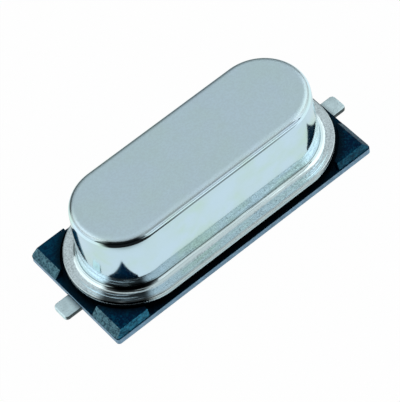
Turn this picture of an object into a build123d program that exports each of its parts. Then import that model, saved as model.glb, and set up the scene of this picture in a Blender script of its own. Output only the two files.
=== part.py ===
"""Two-terminal quartz crystal in a low drawn metal can, on a moulded surface-mount plate.

The can's cover is welded to a stamped header. Two leads pass through glass beads in the header
and through the plate, bend outwards and end as flat solder tabs. Inside, spring clips on the lead
heads carry a thin strip of quartz with a silver electrode film on each face.

Millimetres. X runs along the can, Y across it and Z up. The origin is on the solder plane, under
the middle of the can.
"""

import os
from math import cos, radians, sin, tan

from build123d import *

# Can cover: a drawn obround shell with a little draft, a flared foot and a weld flange
can_straight = 6.26
can_width = 3.46
overall_height = 3.55
cover_sheet = 0.15
top_edge_radius = 0.28
wall_draft_angle = 2.4
flare_radius = 0.23
flange_land = 0.28
flange_edge_bevel = 0.04

# Header: stamped base with a thin weld flange and a raised platform inside the cover
header_flange_sheet = 0.12
header_edge_bevel = 0.04
platform_rise = 0.55
platform_clearance = 0.12
platform_edge_bevel = 0.08

# Leads: round wire with a nail head inside the can and a coined tab outside
pin_pitch = 4.88
wire_diameter = 0.43
head_diameter = 0.8
head_thickness = 0.12
post_rise = 0.2
lead_bend_radius = 0.35
coining_length = 0.5
tab_width = 0.75
tab_thickness = 0.2
tab_edge_bevel = 0.05
tab_tip_radius = 0.16
tab_reach = 0.67

# Glass beads between the leads and the header
bead_diameter = 1.3

# Insulator plate: thin rim, raised seat, corner wedges, lead holes and lead grooves
plate_standoff = 0.12
plate_end_margin = 0.24
plate_side_margin = 0.1
plate_corner_radius = 0.12
slab_thickness = 0.25
seat_rise = 0.27
seat_inset = 0.22
wedge_length = 1.43
wedge_width = 1.42
wedge_rise = 0.33
wedge_toe = 0.04
wedge_ledge = 0.04
wedge_end_run = 0.25
wedge_side_run = 0.07
wedge_clearance = 0.12
lead_clearance = 0.04

# Spring clips that carry the blank
clip_sheet = 0.1
clip_width = 1.2
clip_rise = 0.55
clip_bend_radius = 0.12
clip_foot_margin = 0.06
clip_lip_rise = 0.34

# Quartz blank, its electrode films and the adhesive at its ends
blank_end_room = 0.7
blank_width = 2.0
blank_thickness = 0.17
blank_bevel = 0.03
film_thickness = 0.02
film_length = 3.6
film_side_margin = 0.35
tongue_width = 0.7
bond_thickness = 0.03
dab_cover = 0.45
dab_wrap = 0.1
dab_crown = 0.12
dab_width = 0.9

# Cuts run this far past the faces that they open
overrun = 0.5

# Direction of the drafted wall, and how far the rounds at its ends turn to meet it
draft_sine_share = sin(radians(wall_draft_angle))
draft_cosine_share = cos(radians(wall_draft_angle))
round_turn_angle = 90 - wall_draft_angle

# Leg of a flat that touches the middle of such a round, for a radius of one
touching_leg_share = tan(radians(round_turn_angle / 4))

# Levels above the solder plane
slab_top = plate_standoff + slab_thickness
seat_top = slab_top + seat_rise
flange_joint = seat_top + header_flange_sheet
flange_top = flange_joint + cover_sheet
wall_foot = flange_top + flare_radius
wall_head = overall_height - top_edge_radius
cover_ceiling = overall_height - cover_sheet
platform_top = flange_joint + platform_rise
head_bottom = platform_top + post_rise
head_top = head_bottom + head_thickness
shelf_top = head_top + clip_rise
blank_bottom = shelf_top + bond_thickness
blank_top = blank_bottom + blank_thickness

# Radii and half lengths of the obround stack
half_straight = can_straight / 2
wall_radius = can_width / 2
inner_radius = wall_radius - cover_sheet
inner_edge_radius = top_edge_radius - cover_sheet
inner_flare_radius = flare_radius + cover_sheet
inner_flare_leg = touching_leg_share * inner_flare_radius
inner_flare_reach = draft_cosine_share * inner_flare_radius - draft_sine_share * inner_flare_leg
inner_flare_drop = draft_sine_share * inner_flare_radius + draft_cosine_share * inner_flare_leg
top_flat_radius = wall_radius - top_edge_radius
wall_lean = draft_sine_share * (wall_head - wall_foot)
flare_foot_radius = top_flat_radius + (top_edge_radius + flare_radius + wall_lean) / draft_cosine_share
flange_radius = flare_foot_radius + flange_land
platform_radius = inner_radius - platform_clearance
seat_radius = flange_radius - seat_inset
bay_radius = flange_radius + wedge_clearance
plate_length = can_straight + 2 * (flange_radius + plate_end_margin)
plate_width = 2 * (flange_radius + plate_side_margin)

# Stations along the right-hand half
pin_x = pin_pitch / 2
wire_radius = wire_diameter / 2
head_radius = head_diameter / 2
coining_start = pin_x + lead_bend_radius
tab_start = coining_start + coining_length
tab_tip = plate_length / 2 + tab_reach
blank_end = half_straight + inner_radius - blank_end_room
dab_start = blank_end - dab_cover
clip_riser = pin_x + head_radius + clip_foot_margin
clip_lip = blank_end + dab_wrap + clip_bend_radius
tab_groove_roof = tab_thickness + lead_clearance
wire_groove_roof = wire_diameter + lead_clearance

# Cover: one quarter is the wall section turned round the end and drawn along the side
with BuildPart() as cover_can:
    with BuildSketch(Plane.YZ.offset(half_straight)) as cover_section:
        with BuildLine():
            flange_edge = Polyline(
                (flange_radius, flange_joint),
                (flange_radius, flange_top - flange_edge_bevel),
                (flange_radius - flange_edge_bevel, flange_top),
                (flare_foot_radius, flange_top),
            )
            outer_flare = JernArc(flange_edge @ 1, flange_edge % 1, flare_radius, -round_turn_angle)
            top_face = Line((0, overall_height), (top_flat_radius, overall_height))
            outer_edge = JernArc(top_face @ 1, top_face % 1, top_edge_radius, -round_turn_angle)
            Line(outer_edge @ 1, outer_flare @ 1)
            Polyline(
                top_face @ 0,
                (0, cover_ceiling),
                (top_flat_radius, cover_ceiling),
                (
                    top_flat_radius + draft_cosine_share * inner_edge_radius,
                    wall_head + draft_sine_share * inner_edge_radius,
                ),
                (flare_foot_radius - inner_flare_reach, wall_foot - inner_flare_drop),
                (flare_foot_radius - inner_flare_leg, flange_joint),
                flange_edge @ 0,
            )
        make_face()
    end_axis = Axis((half_straight, 0, 0), (0, 0, -1))
    revolve(axis=end_axis, revolution_arc=90)
    extrude(cover_section.sketch, amount=-half_straight)
    mirror(about=Plane.XZ)
    mirror(about=Plane.YZ)
cover_can.part.label = "cover_can"

# Header: weld flange and platform, with a hole for each glass bead
with BuildPart() as header_base:
    with BuildSketch(Plane.XY.offset(seat_top)):
        SlotCenterToCenter(can_straight, 2 * flange_radius)
    extrude(amount=header_flange_sheet)
    chamfer(header_base.edges().group_by(Axis.Z)[0], header_edge_bevel)
    with BuildSketch(Plane.XY.offset(flange_joint)):
        SlotCenterToCenter(can_straight, 2 * platform_radius)
    extrude(amount=platform_rise)
    chamfer(header_base.edges().group_by(Axis.Z)[-1], platform_edge_bevel)
    with BuildSketch(Plane.XY.offset(seat_top)):
        with GridLocations(pin_pitch, 0, 2, 1):
            Circle(bead_diameter / 2)
    extrude(amount=platform_top - seat_top, mode=Mode.SUBTRACT)
header_base.part.label = "header_base"

# Glass bead: fills the header's hole round the wire
with BuildPart() as glass_bead:
    with BuildSketch(Plane.XY.offset(seat_top)):
        with Locations((pin_x, 0)):
            Circle(bead_diameter / 2)
            Circle(wire_radius, mode=Mode.SUBTRACT)
    extrude(amount=platform_top - seat_top)

# Lead: the wire's end coined to a flat tab, the round wire bent up from it, and a nail head
with BuildPart() as lead:
    with BuildSketch():
        with Locations((tab_start, 0)):
            Rectangle(tab_tip - tab_start, tab_width, align=(Align.MIN, Align.CENTER))
        fillet(vertices().group_by(Axis.X)[-1], tab_tip_radius)
    extrude(amount=tab_thickness)
    tab_rims = lead.edges().group_by(Axis.Z)[0] + lead.edges().group_by(Axis.Z)[-1]
    chamfer(tab_rims.filter_by_position(Axis.X, tab_start, tab_tip, (False, True)), tab_edge_bevel)
    with BuildSketch(Plane.YZ.offset(tab_start)):
        with Locations((0, tab_thickness / 2)):
            Rectangle(tab_width, tab_thickness)
        chamfer(vertices(), tab_edge_bevel)
    with BuildSketch(Plane.YZ.offset(coining_start)):
        with Locations((0, wire_radius)):
            Circle(wire_radius)
    loft(ruled=True)
    with BuildLine(Plane.XZ):
        post = Line((pin_x, head_bottom), (pin_x, wire_radius + lead_bend_radius))
        JernArc(post @ 1, post % 1, lead_bend_radius, 90)
    with BuildSketch(Plane.XY.offset(head_bottom)):
        with Locations((pin_x, 0)):
            Circle(wire_radius)
    sweep()
    with BuildSketch(Plane.XY.offset(head_bottom)):
        with Locations((pin_x, 0)):
            Circle(head_radius)
    extrude(amount=head_thickness)

# Corner wedge of the plate: its inner side follows the flange, and its outer sides slope to the slab
wedge_climb = wedge_rise - wedge_toe
wedge_foot = slab_top + wedge_toe
wedge_side = plate_width / 2 - wedge_ledge
end_slope = Plane((plate_length / 2, 0, wedge_foot), z_dir=(wedge_climb, 0, wedge_end_run))
side_slope = Plane((0, wedge_side, wedge_foot), z_dir=(0, wedge_climb, wedge_side_run))
with BuildPart() as corner_wedge:
    with BuildSketch(Plane.XY.offset(slab_top)):
        RectangleRounded(plate_length, 2 * wedge_side, plate_corner_radius)
        with Locations((plate_length / 2, plate_width / 2)):
            Rectangle(2 * wedge_length, 2 * wedge_width, mode=Mode.INTERSECT)
        SlotCenterToCenter(can_straight, 2 * bay_radius, mode=Mode.SUBTRACT)
    extrude(amount=wedge_rise)
    split(bisect_by=end_slope, keep=Keep.BOTTOM)
    split(bisect_by=side_slope, keep=Keep.BOTTOM)

# Insulator plate: slab, seat and wedges, with a hole and an underside groove for each lead
with BuildPart() as insulator_plate:
    with BuildSketch(Plane.XY.offset(plate_standoff)):
        RectangleRounded(plate_length, plate_width, plate_corner_radius)
    extrude(amount=slab_thickness)
    with BuildSketch(Plane.XY.offset(slab_top)):
        SlotCenterToCenter(can_straight, 2 * seat_radius)
    extrude(amount=seat_rise)
    for mirror_planes in ((), (Plane.XZ,), (Plane.YZ,), (Plane.XZ, Plane.YZ)):
        wedge = corner_wedge.part
        for plane in mirror_planes:
            wedge = mirror(wedge, about=plane, mode=Mode.PRIVATE)
        add(wedge)
    with BuildSketch(Plane.XY.offset(seat_top)):
        with GridLocations(pin_pitch, 0, 2, 1):
            Circle(wire_radius + lead_clearance)
    extrude(amount=plate_standoff - seat_top, mode=Mode.SUBTRACT)
    with BuildSketch(Plane.XZ):
        with BuildLine():
            Polyline(
                (pin_x, plate_standoff - overrun),
                (tab_tip, plate_standoff - overrun),
                (tab_tip, tab_groove_roof),
                (tab_start + lead_clearance, tab_groove_roof),
                (coining_start + lead_clearance, wire_groove_roof),
                (pin_x, wire_groove_roof),
                close=True,
            )
        make_face()
        mirror(about=Plane.YZ)
    extrude(amount=tab_width / 2 + lead_clearance, both=True, mode=Mode.SUBTRACT)
insulator_plate.part.label = "insulator_plate"

# Spring clip: foot on the lead's head, riser, shelf under the blank and an end lip
with BuildPart() as crystal_clip:
    with BuildSketch(Plane.XZ):
        with BuildLine():
            FilletPolyline(
                (pin_x - head_radius, head_top + clip_sheet / 2),
                (clip_riser, head_top + clip_sheet / 2),
                (clip_riser, shelf_top - clip_sheet / 2),
                (clip_lip, shelf_top - clip_sheet / 2),
                (clip_lip, shelf_top + clip_lip_rise),
                radius=clip_bend_radius,
            )
        trace(line_width=clip_sheet)
    extrude(amount=clip_width / 2, both=True)

# Quartz blank with its long edges bevelled
with BuildPart() as quartz_blank:
    with BuildSketch(Plane.XY.offset(blank_bottom)):
        Rectangle(2 * blank_end, blank_width)
    extrude(amount=blank_thickness)
    chamfer(quartz_blank.edges().filter_by(Axis.X), blank_bevel)
quartz_blank.part.label = "quartz_blank"

# Electrode films: a field in the middle and a tongue to the adhesive at one end
film_size = (film_length, blank_width - 2 * film_side_margin)
with BuildPart() as electrode_top:
    with BuildSketch(Plane.XY.offset(blank_top)):
        Rectangle(*film_size)
        Rectangle(dab_start, tongue_width, align=(Align.MIN, Align.CENTER))
    extrude(amount=film_thickness)
electrode_top.part.label = "electrode_top"

with BuildPart() as electrode_bottom:
    with BuildSketch(Plane.XY.offset(blank_bottom)):
        Rectangle(*film_size)
        Rectangle(dab_start, tongue_width, align=(Align.MAX, Align.CENTER))
    extrude(amount=-film_thickness)
electrode_bottom.part.label = "electrode_bottom"

# Adhesive dab: wraps the end of the blank and bonds it to the shelf
dab_end = blank_end + dab_wrap
dab_shoulder = blank_top + film_thickness
with BuildPart() as adhesive_dab:
    with BuildSketch(Plane.XZ):
        with BuildLine():
            wrap = Polyline(
                (dab_start, dab_shoulder),
                (dab_start, blank_top),
                (blank_end, blank_top),
                (blank_end, blank_bottom),
                (dab_start, blank_bottom),
                (dab_start, shelf_top),
                (dab_end, shelf_top),
                (dab_end, blank_top),
            )
            ThreePointArc(wrap @ 1, ((dab_start + dab_end) / 2, blank_top + dab_crown), wrap @ 0)
        make_face()
    extrude(amount=dab_width / 2, both=True)

os.makedirs("parts", exist_ok=True)
for piece in (cover_can, header_base, insulator_plate, quartz_blank, electrode_top, electrode_bottom):
    export_step(piece.part, f"parts/{piece.part.label}.step")

pairs = {
    "lead": lead,
    "glass_bead": glass_bead,
    "crystal_clip": crystal_clip,
    "adhesive_dab": adhesive_dab,
}
for name, right in pairs.items():
    with BuildPart() as left:
        mirror(right.part, about=Plane.YZ)
    for side, piece in (("left", left), ("right", right)):
        piece.part.label = f"{name}_{side}"
        export_step(piece.part, f"parts/{piece.part.label}.step")
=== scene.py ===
"""Looks of a surface-mount quartz crystal: a drawn nickel can on a black moulded plate.

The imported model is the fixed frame. The pieces that show get finer meshes of the same form here,
the pieces sealed in the can keep their own meshes, and every piece gets a node-based finish.
Metres throughout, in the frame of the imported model.
"""

from __future__ import annotations

import logging
import math
from dataclasses import dataclass, field
from enum import Enum
from typing import Iterable

import bmesh
import bpy
from mathutils import Matrix, Vector


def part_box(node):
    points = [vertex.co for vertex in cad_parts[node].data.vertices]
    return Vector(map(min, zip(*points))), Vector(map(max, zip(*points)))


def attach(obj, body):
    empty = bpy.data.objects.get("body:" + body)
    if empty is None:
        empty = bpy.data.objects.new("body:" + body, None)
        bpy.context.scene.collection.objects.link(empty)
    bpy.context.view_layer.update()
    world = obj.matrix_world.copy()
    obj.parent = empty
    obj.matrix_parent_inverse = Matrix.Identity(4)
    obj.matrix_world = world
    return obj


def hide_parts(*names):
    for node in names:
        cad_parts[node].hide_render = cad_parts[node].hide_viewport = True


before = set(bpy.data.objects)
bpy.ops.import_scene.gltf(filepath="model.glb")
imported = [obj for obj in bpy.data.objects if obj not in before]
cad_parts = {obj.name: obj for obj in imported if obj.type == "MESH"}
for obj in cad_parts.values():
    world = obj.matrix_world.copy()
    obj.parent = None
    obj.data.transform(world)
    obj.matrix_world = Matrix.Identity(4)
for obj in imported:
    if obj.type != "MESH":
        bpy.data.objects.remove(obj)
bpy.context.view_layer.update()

LOG = logging.getLogger("crystal")
MM = 0.001
BODY = "root"
MERGE_DISTANCE = 0.0002 * MM
SHORTEST = 1e-9
ROUND_STRIPS = 3
FLAT_WEIGHT = 100

Point2 = tuple[float, float]
Span = tuple[float, float]
Colour = tuple[float, float, float]
Ring = list[Vector]
Node = bpy.types.Node
Socket = bpy.types.NodeSocket
Sockets = bpy.types.bpy_prop_collection
Piece = bpy.types.Object
Shell = bmesh.types.BMesh

BLACK: Colour = (0.0, 0.0, 0.0)
WHITE: Colour = (1.0, 1.0, 1.0)


class Side(Enum):
    """The two ends of the can."""

    LEFT = "left"
    RIGHT = "right"

    @property
    def sign(self) -> int:
        """Which way along X this end lies."""
        return -1 if self is Side.LEFT else 1


class Operation(Enum):
    """How a Boolean joins two closed meshes."""

    UNION = "UNION"
    CUT = "DIFFERENCE"


@dataclass(frozen=True)
class NodeBox:
    """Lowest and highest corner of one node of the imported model."""

    low: Vector
    high: Vector

    @classmethod
    def of(cls, node: str) -> NodeBox:
        """Reads a node's corners from the frame."""
        return cls(*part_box(node))


class Graph:
    """Adds nodes to one node tree and joins their sockets."""

    spacing: int = 180

    def __init__(self, tree: bpy.types.NodeTree) -> None:
        """Keeps the tree and starts the layout at the left.

        Args:
            tree: the shader or geometry tree that gets the nodes.
        """
        self.tree = tree
        self.column = 0

    @classmethod
    def fresh(cls, owner: bpy.types.Material | bpy.types.World) -> Graph:
        """Empties the node tree of a material or a world and starts on it."""
        owner.use_nodes = True
        owner.node_tree.nodes.clear()
        return cls(owner.node_tree)

    def add(self, kind: str, **settings: object) -> Node:
        """Adds a node.

        Args:
            kind: the node's type name.
            settings: properties to set on the node.

        Returns:
            The new node.
        """
        node = self.tree.nodes.new(kind)
        node.location = (self.column, 0)
        self.column += self.spacing
        for name, value in settings.items():
            setattr(node, name, value)
        return node

    def feed(self, socket: Socket, value: object) -> None:
        """Links a socket to another one, or sets its plain value.

        Args:
            socket: the input that is fed.
            value: an output socket, a number, a vector or a colour.
        """
        if isinstance(value, Socket):
            self.tree.links.new(value, socket)
        else:
            socket.default_value = value

    def fill(self, node: Node, *values: object, **named: object) -> Sockets:
        """Feeds a node's inputs.

        Args:
            node: the node.
            values: what its first inputs get, in order.
            named: what its other inputs get, by name and with underscores for spaces.

        Returns:
            The node's outputs.
        """
        for socket, value in zip(node.inputs, values):
            self.feed(socket, value)
        for label, value in named.items():
            self.feed(node.inputs[label.replace("_", " ")], value)
        return node.outputs

    def math(self, operation: str, *values: object) -> Socket:
        """Adds a Math node.

        Args:
            operation: the node's operation.
            values: its inputs, sockets or numbers.

        Returns:
            The node's output.
        """
        return self.fill(self.add("ShaderNodeMath", operation=operation), *values)[0]

    def product(self, first: object, *others: object) -> Socket:
        """Multiplies values, one after the other."""
        for other in others:
            first = self.math("MULTIPLY", first, other)
        return first

    def between(self, share: object, low: float, high: float) -> Socket:
        """A value that goes from low to high as a share goes from 0 to 1."""
        return self.math("MULTIPLY_ADD", share, high - low, low)

    def length(self, x: object, y: object) -> Socket:
        """The length of a vector in the plane."""
        return self.math("SQRT", self.math("ADD", self.product(x, x), self.product(y, y)))

    def split(self, vector: object) -> Sockets:
        """Separates a vector and returns its X, Y and Z outputs."""
        return self.fill(self.add("ShaderNodeSeparateXYZ"), vector)

    def join(self, x: object, y: object, z: object) -> Socket:
        """Combines three values to a vector."""
        return self.fill(self.add("ShaderNodeCombineXYZ"), x, y, z)[0]

    def ramp(
        self, value: object, low: object, high: object, start: float = 0.0, end: float = 1.0
    ) -> Socket:
        """Adds a smooth Map Range.

        Args:
            value: what is mapped.
            low: the input that gives start.
            high: the input that gives end.
            start: the output at low.
            end: the output at high.

        Returns:
            The mapped value.
        """
        node = self.add("ShaderNodeMapRange", interpolation_type="SMOOTHSTEP")
        made = self.fill(node, Value=value, From_Min=low, From_Max=high, To_Min=start, To_Max=end)
        return made["Result"]

    def blend(self, share: object, first: object, second: object) -> Socket:
        """Mixes two colours by a share of the second."""
        node = self.add("ShaderNodeMix", data_type="RGBA")
        self.fill(node, Factor=share)
        for name, value in (("A", first), ("B", second)):
            socket = [s for s in node.inputs if s.name == name and s.type == "RGBA"][0]
            self.feed(socket, (*value, 1.0) if isinstance(value, tuple) else value)
        return [s for s in node.outputs if s.type == "RGBA"][0]

    def mixed(self, share: object, first: Socket, second: Socket) -> Socket:
        """Mixes two shaders by a share of the second."""
        return self.fill(self.add("ShaderNodeMixShader"), share, first, second)[0]

    def noise(self, vector: object, scale: object, detail: float) -> Socket:
        """Adds a noise.

        Args:
            vector: where it is sampled.
            scale: how many grains there are to one unit of the vector.
            detail: how many finer layers it has.

        Returns:
            Its value, from 0 to 1.
        """
        return self.fill(self.add("ShaderNodeTexNoise"), Vector=vector, Scale=scale, Detail=detail)["Fac"]

    def bump(self, height: object, depth: float, normal: object = None) -> Socket:
        """Adds a Bump node.

        Args:
            height: a value from 0 to 1.
            depth: how far 1 stands above 0, in metres.
            normal: the output of another Bump to add to.

        Returns:
            The bent normal.
        """
        node = self.add("ShaderNodeBump")
        if normal is not None:
            self.fill(node, Normal=normal)
        return self.fill(node, Strength=1.0, Distance=depth, Height=height)["Normal"]

    def object_position(self) -> Socket:
        """The point's own Object coordinates."""
        return self.add("ShaderNodeTexCoord").outputs["Object"]


class EffectGroup:
    """A shader node group that several finishes share."""

    name: str = "effect"
    inputs: dict[str, float] = {}
    outputs: dict[str, str] = {}

    @classmethod
    def tree(cls) -> bpy.types.NodeTree:
        """Builds the group once and returns it afterwards."""
        found = bpy.data.node_groups.get(cls.name)
        if found:
            return found
        tree = bpy.data.node_groups.new(cls.name, "ShaderNodeTree")
        for label, value in cls.inputs.items():
            socket = tree.interface.new_socket(name=label, in_out="INPUT", socket_type="NodeSocketFloat")
            socket.default_value = value
        for label, kind in cls.outputs.items():
            tree.interface.new_socket(name=label, in_out="OUTPUT", socket_type=f"NodeSocket{kind}")
        graph = Graph(tree)
        results = cls.build(graph, graph.add("NodeGroupInput"))
        graph.fill(graph.add("NodeGroupOutput"), **results)
        return tree

    @classmethod
    def build(cls, graph: Graph, entry: Node) -> dict[str, Socket]:
        """Adds the group's own nodes.

        Args:
            graph: where the nodes go.
            entry: the group's input node.

        Returns:
            The output sockets by name.
        """
        raise NotImplementedError

    @classmethod
    def place(cls, graph: Graph, **values: object) -> Sockets:
        """Puts the group in a material.

        Args:
            graph: the material's graph.
            values: input values by name, with underscores for spaces.

        Returns:
            The group's outputs.
        """
        return graph.fill(graph.add("ShaderNodeGroup", node_tree=cls.tree()), **values)


class ObroundRings(EffectGroup):
    """Distance from the can's middle line, so that a pattern can follow the obround outline."""

    name = "obround_rings"
    inputs = {"Half Straight": 3.13 * MM}
    outputs = {"Distance": "Float", "Height": "Float", "Streak Vector": "Vector"}
    along_scale: float = 0.03

    @classmethod
    def build(cls, graph: Graph, entry: Node) -> dict[str, Socket]:
        """Measures the distance and stretches the coordinates along the outline."""
        x, y, z = graph.split(graph.object_position())
        past_end = graph.math("SUBTRACT", graph.math("ABSOLUTE", x), entry.outputs["Half Straight"])
        distance = graph.length(graph.math("MAXIMUM", past_end, 0.0), y)
        run = graph.product(graph.math("SUBTRACT", x, y), cls.along_scale)
        turn = graph.product(graph.math("ADD", x, y), cls.along_scale)
        lift = graph.math("ADD", graph.math("ADD", distance, z), turn)
        return {
            "Distance": distance,
            "Height": z,
            "Streak Vector": graph.join(run, lift, graph.math("SUBTRACT", distance, z)),
        }


class Blotches(EffectGroup):
    """Soft clouds in a plated or moulded surface."""

    name = "blotches"
    inputs = {"Size": 1.0 * MM}
    outputs = {"Mask": "Float", "Second Mask": "Float"}
    offsets: tuple[float, float] = (0.0, 7.3)
    detail: float = 2.0
    soft_span: Span = (0.32, 0.68)

    @classmethod
    def build(cls, graph: Graph, entry: Node) -> dict[str, Socket]:
        """Two independent noises of the given size."""
        position = graph.object_position()
        scale = graph.math("DIVIDE", 1.0, entry.outputs["Size"])
        masks = []
        for offset in cls.offsets:
            shifted = graph.fill(graph.add("ShaderNodeMapping"), Vector=position, Location=(offset,) * 3)
            masks.append(graph.ramp(graph.noise(shifted[0], scale, cls.detail), *cls.soft_span))
        return {"Mask": masks[0], "Second Mask": masks[1]}


class Grain(EffectGroup):
    """Fine grain: the tooth of a plated, moulded or etched surface."""

    name = "grain"
    inputs = {"Size": 0.05 * MM, "Pit Share": 0.1}
    outputs = {"Height": "Float", "Pits": "Float"}
    fine_detail: float = 4.0
    coarse_scale: float = 0.6
    coarse_detail: float = 1.0
    pit_level: float = 0.2
    pit_edge: float = 0.08

    @classmethod
    def build(cls, graph: Graph, entry: Node) -> dict[str, Socket]:
        """A fine noise, and the deep spots of a coarser one."""
        position = graph.object_position()
        scale = graph.math("DIVIDE", 1.0, entry.outputs["Size"])
        fine = graph.noise(position, scale, cls.fine_detail)
        coarse = graph.noise(position, graph.product(scale, cls.coarse_scale), cls.coarse_detail)
        deep = graph.math("ADD", entry.outputs["Pit Share"], cls.pit_level)
        pits = graph.ramp(coarse, deep, graph.math("ADD", deep, cls.pit_edge), 1.0, 0.0)
        return {"Height": fine, "Pits": pits}


def tinged(colour: Colour, tint: Colour) -> Colour:
    """A colour times a tint, channel by channel and at most white."""
    return tuple(min(part * factor, 1.0) for part, factor in zip(colour, tint))


def darker(colour: Colour, share: float) -> Colour:
    """A share of a colour's brightness."""
    return tinged(colour, (share, share, share))


@dataclass(frozen=True)
class Sector:
    """A stretch of compass bearings as a mask: full within core of the bearing, gone beyond edge."""

    bearing: float
    core: float
    edge: float
    depth: float = 1.0
    rise: Span | None = None
    fall: Span | None = None

    def share(self, graph: Graph, x: object, y: object, measure: object) -> Socket:
        """How far a direction lies inside the stretch.

        Args:
            graph: where the nodes go.
            x: the direction's X part.
            y: the direction's Y part.
            measure: the height or the distance that rise and fall are about.

        Returns:
            0 outside the stretch and its depth well inside it.
        """
        bearing = math.radians(self.bearing)
        length = graph.math("MAXIMUM", graph.length(x, y), SHORTEST)
        across = graph.product(y, math.sin(bearing))
        along = graph.math("DIVIDE", graph.math("MULTIPLY_ADD", x, math.cos(bearing), across), length)
        limits = [math.cos(math.radians(angle)) for angle in (self.edge, self.core)]
        share = graph.ramp(along, *limits, 0.0, self.depth)
        if self.rise:
            share = graph.product(share, graph.ramp(measure, *self.rise))
        if self.fall:
            share = graph.product(share, graph.ramp(measure, *self.fall, 1.0, 0.0))
        return share

    @staticmethod
    def strongest(graph: Graph, shares: list[Socket]) -> Socket:
        """The largest of several shares."""
        result = shares[0]
        for share in shares[1:]:
            result = graph.math("MAXIMUM", result, share)
        return result


@dataclass(frozen=True)
class Finish:
    """One surface finish. Each kind fills in its own nodes."""

    name: str
    colour: Colour

    def material(self) -> bpy.types.Material:
        """Builds the material once and returns it afterwards."""
        found = bpy.data.materials.get(self.name)
        if found:
            return found
        made = bpy.data.materials.new(self.name)
        made.diffuse_color = (*self.colour, 1.0)
        graph = Graph.fresh(made)
        shader = graph.add("ShaderNodeBsdfPrincipled")
        graph.fill(shader, Base_Color=(*self.colour, 1.0))
        self.dress(graph, shader)
        graph.fill(graph.add("ShaderNodeOutputMaterial"), Surface=shader.outputs["BSDF"])
        return made

    def dress(self, graph: Graph, shader: Node) -> None:
        """Sets the shader up.

        Args:
            graph: the material's graph.
            shader: its Principled BSDF.
        """
        raise NotImplementedError


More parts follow.
